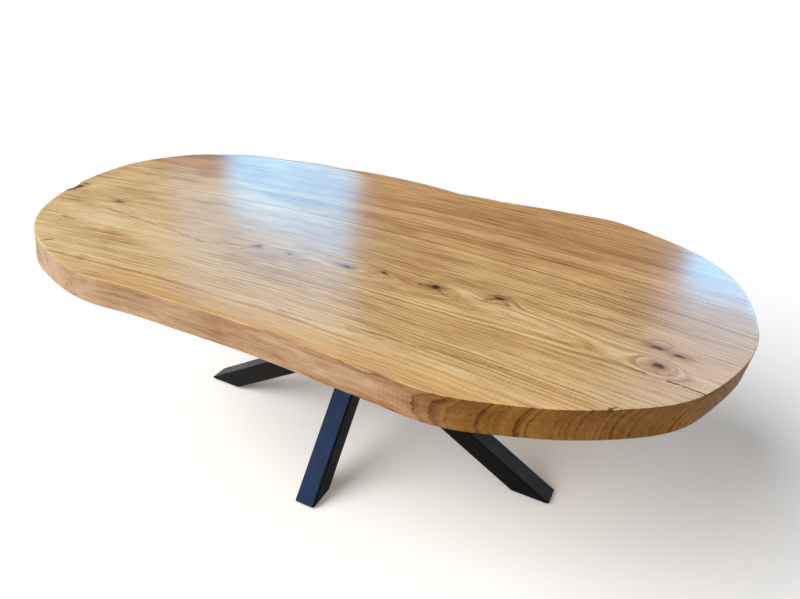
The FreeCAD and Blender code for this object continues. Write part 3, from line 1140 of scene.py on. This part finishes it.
def make_mount_plate(side):
    """A mounting plate with its edges softened."""
    mesh = merged_copy(side + "_mount_plate")
    bmesh.ops.dissolve_limit(mesh, angle_limit=flat_bend, verts=mesh.verts, edges=mesh.edges)
    data = bpy.data.meshes.new(side + "_soft_plate")
    mesh.to_mesh(data)
    mesh.free()
    plate = new_piece(side + "_soft_plate", data)
    soft = plate.modifiers.new("soft_edges", "BEVEL")
    soft.width = plate_edge_round
    soft.segments = 2
    soft.limit_method = "ANGLE"
    soft.angle_limit = plate_edge_bend
    bpy.ops.object.modifier_apply(modifier=soft.name)
    dress(plate, "black_coat", side + "_mount_plate")


def islands(node_name):
    """Centres of the separate solids in a CAD node, as X and Y."""
    mesh = merged_copy(node_name)
    reached = set()
    centres = []
    for start in mesh.verts:
        if start in reached:
            continue
        reached.add(start)
        found = [start]
        for corner in found:
            beside = [edge.other_vert(corner) for edge in corner.link_edges]
            fresh = [other for other in beside if other not in reached]
            reached.update(fresh)
            found += fresh
        low = Vector((min(corner.co.x for corner in found), min(corner.co.y for corner in found)))
        high = Vector((max(corner.co.x for corner in found), max(corner.co.y for corner in found)))
        centres.append((low + high) / 2.0)
    mesh.free()
    return centres


def copies_at(model, places, name):
    """Copies of a model at places on the floor plan, joined into one piece; the model is used up."""
    made = []
    for place in places:
        copy = new_piece(name, model.data.copy())
        copy.location = (place.x, place.y, 0.0)
        made.append(copy)
    bpy.data.objects.remove(model)
    return join_pieces(made, name)


def make_bolts():
    """Hex bolts with chamfered heads."""
    low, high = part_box("mount_bolts")
    seat = low.z + bolt_head_height
    head = new_cylinder(6, bolt_flats / math.sqrt(3.0), low.z, seat)
    head.rotation_euler.z = bolt_head_turn
    fix_place()
    wide = bolt_head_chamfer + bolt_head_height * math.tan(bolt_chamfer_slope)
    bpy.ops.mesh.primitive_cone_add(
        vertices=bolt_chamfer_corners,
        radius1=bolt_head_chamfer,
        radius2=wide,
        depth=bolt_head_height,
    )
    cone = bpy.context.active_object
    cone.location.z = (low.z + seat) / 2.0
    apply_boolean(head, cone, "INTERSECT")
    shank = new_cylinder(bolt_corners, bolt_radius, seat - bolt_head_height / 2.0, high.z)
    apply_boolean(head, shank, "UNION")
    bolts = copies_at(head, islands("mount_bolts"), "hex_bolts")
    dress(bolts, "zinc_steel", "mount_bolts", crease=25.0)


def make_washers():
    """Washers with rounded rims."""
    low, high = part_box("mount_washers")
    washer = new_cylinder(washer_corners, washer_radius, low.z, high.z)
    fix_place()
    bpy.ops.object.mode_set(mode="EDIT")
    pick(washer, "EDGE", borders_flat_face)
    bpy.ops.mesh.bevel(offset=washer_edge_round, segments=2)
    pick(washer, "FACE", lambda face: len(face.verts) == washer_corners)
    bpy.ops.mesh.inset(thickness=washer_radius - washer_edge_round - washer_hole)
    bpy.ops.mesh.bridge_edge_loops()
    turn_outward()
    bpy.ops.object.mode_set(mode="OBJECT")
    washers = copies_at(washer, islands("mount_washers"), "flat_washers")
    dress(washers, "zinc_steel", "mount_washers")


def make_glide_pad(side):
    """A moulded pad with a rounded rim, a hole for the stud and a dished sole."""
    low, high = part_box(side + "_glide_pad")
    radius = (high.x - low.x) / 2.0
    pad = new_cylinder(pad_corners, radius, low.z, high.z)
    pad.location.xy = (low.xy + high.xy) / 2.0
    fix_place()
    bpy.ops.object.mode_set(mode="EDIT")
    pick(pad, "EDGE", borders_flat_face)
    bpy.ops.mesh.bevel(offset=pad_edge_round, segments=3)
    pick(pad, "FACE", lambda face: len(face.verts) == pad_corners and face.normal.z > level_turn)
    bpy.ops.mesh.inset(thickness=radius - pad_edge_round - pad_pocket)
    bpy.ops.mesh.extrude_region_move(TRANSFORM_OT_translate={"value": (0.0, 0.0, -pad_pocket_depth)})
    pick(pad, "FACE", lambda face: len(face.verts) == pad_corners and face.normal.z < -level_turn)
    bpy.ops.mesh.inset(thickness=pad_edge_round)
    bpy.ops.mesh.inset(thickness=pad_edge_round)
    bpy.ops.transform.translate(value=(0.0, 0.0, pad_hollow))
    turn_outward()
    bpy.ops.object.mode_set(mode="OBJECT")
    pad.name = side + "_moulded_pad"
    pad.data.name = pad.name
    dress(pad, "glide_nylon", side + "_glide_pad", body=side + "_glide")


def make_glide_stud(side):
    """A stud with a rolled thread, turned from a profile of one pitch and cut square at both ends."""
    low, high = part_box(side + "_glide_stud")
    root = thread_radius - thread_depth
    crest = [(thread_radius, share) for share in thread_crest]
    profile = [(root, 0.0), (root, thread_root), *crest, (root, 1.0)]
    points = [(across, 0.0, share * thread_pitch) for across, share in profile]
    stud = new_wire(side + "_threaded_stud", points, [(i, i + 1) for i in range(len(points) - 1)])
    middle = (low + high) / 2.0
    stud.location = (middle.x, middle.y, low.z - thread_spare * thread_pitch)
    thread = stud.modifiers.new("thread", "SCREW")
    thread.axis = "Z"
    thread.screw_offset = thread_pitch
    thread.iterations = math.ceil((high.z - low.z) / thread_pitch) + thread_spare + 1
    thread.steps = thread_corners
    thread.render_steps = thread_corners
    bpy.ops.object.modifier_apply(modifier=thread.name)
    fix_place()
    bpy.ops.object.mode_set(mode="EDIT")
    bpy.ops.mesh.select_all(action="SELECT")
    bpy.ops.mesh.remove_doubles(threshold=same_point)
    for level, upward in ((low.z, -1.0), (high.z, 1.0)):
        plane = {"plane_co": (0.0, 0.0, level), "plane_no": (0.0, 0.0, upward)}
        bpy.ops.mesh.select_all(action="SELECT")
        bpy.ops.mesh.bisect(**plane, use_fill=True, clear_outer=True)
    turn_outward()
    bpy.ops.object.mode_set(mode="OBJECT")
    dress(stud, "zinc_steel", side + "_glide_stud", body=side + "_glide", crease=30.0)


make_slab()
make_weld_beads()
for side in leg_reach:
    make_mount_plate(side)
make_bolts()
make_washers()
for side in leg_reach:
    make_glide_pad(side)
    make_glide_stud(side)


def seen_or_mirrored(tree):
    """A number that is 1 for what is seen directly, mirrored or through glass, and 0 for other light."""
    path = tree.nodes.new("ShaderNodeLightPath")
    result = path.outputs["Is Camera Ray"]
    for kind in ("Is Glossy Ray", "Is Transmission Ray"):
        either = tree.nodes.new("ShaderNodeMath")
        either.operation = "MAXIMUM"
        tree.links.new(result, either.inputs[0])
        tree.links.new(path.outputs[kind], either.inputs[1])
        result = either.outputs[0]
    return result


def make_floor():
    """Plain pale floor."""
    bpy.ops.object.select_all(action="DESELECT")
    bpy.ops.mesh.primitive_plane_add(size=floor_size, location=(0.0, 0.0, cad_low.z))
    floor = bpy.context.active_object
    floor.name = "pale_floor"
    paint = Finish("pale_floor")
    paint.set(Base_Color=paint.mottle(paint.noise(floor_cloud_waves), *floor_colours))
    paint.set(Roughness=0.9, Specular_IOR_Level=0.0)
    lift = paint.product(seen_or_mirrored(paint.tree), floor_lift)
    paint.set(Emission_Color=(1.0, 1.0, 1.0, 1.0), Emission_Strength=lift)
    floor.data.materials.append(paint.material)


def make_room():
    """A room that looks white and sheds a plain grey light, and a broad key light from the left."""
    world = bpy.data.worlds.new("room")
    world.use_nodes = True
    tree = world.node_tree
    background = tree.nodes["Background"]
    background.inputs["Color"].default_value = (1.0, 1.0, 1.0, 1.0)
    level = tree.nodes.new("ShaderNodeMapRange")
    level.inputs["To Min"].default_value = room_light
    tree.links.new(seen_or_mirrored(tree), level.inputs["Value"])
    tree.links.new(level.outputs["Result"], background.inputs["Strength"])
    bpy.context.scene.world = world
    sun = bpy.data.lights.new("key_light", "SUN")
    sun.energy = key_light
    sun.angle = key_spread
    key = bpy.data.objects.new("key_light", sun)
    key.rotation_euler = Vector(key_direction).to_track_quat("-Z", "Y").to_euler()
    bpy.context.scene.collection.objects.link(key)


def lit_group(name, pieces):
    """A collection of pieces for a window panel to shine on alone."""
    group = bpy.data.collections.new(name)
    for piece in pieces:
        group.objects.link(piece)
    return group


def make_windows():
    """Soft panels of light, which show only in what shines."""
    nodes = frame["nodes"]
    groups = {
        None: None,
        "slab": lit_group("window_light", [bpy.data.objects["live_edge_slab"]]),
        "front_leg": lit_group("front_light", [nodes["front_leg"], nodes["front_foot_plate"]]),
    }
    for name, (centre, size, facing, slant, colour, strength, shines_on) in windows.items():
        lamp = bpy.data.lights.new(name, "AREA")
        lamp.shape = "RECTANGLE"
        lamp.size, lamp.size_y = size
        lamp.color = colour
        lamp.energy = strength * size[0] * size[1] * math.pi
        panel = bpy.data.objects.new(name, lamp)
        upright = Vector(facing).to_track_quat("-Z", "Y").to_matrix().to_4x4()
        turn = Matrix.Rotation(math.radians(slant), 4, "Z")
        panel.matrix_world = Matrix.Translation(centre) @ upright @ turn
        panel.visible_camera = False
        panel.visible_diffuse = False
        panel.light_linking.receiver_collection = groups[shines_on]
        bpy.context.scene.collection.objects.link(panel)


def make_camera():
    """Camera at the photograph's viewing angle."""
    view = bpy.data.cameras.new("camera")
    view.sensor_width = camera_sensor
    view.sensor_fit = "HORIZONTAL"
    view.lens = camera_lens
    view.shift_x, view.shift_y = camera_shift
    camera = bpy.data.objects.new("camera", view)
    turn = (
        Matrix.Rotation(math.radians(camera_azimuth), 4, "Z")
        @ Matrix.Rotation(math.radians(90.0 - camera_tilt), 4, "X")
        @ Matrix.Rotation(math.radians(camera_roll), 4, "Z")
    )
    camera.matrix_world = Matrix.Translation(camera_place) @ turn
    bpy.context.scene.collection.objects.link(camera)
    bpy.context.scene.camera = camera


make_floor()
make_room()
make_windows()
make_camera()
bpy.context.scene.view_settings.view_transform = "Standard"
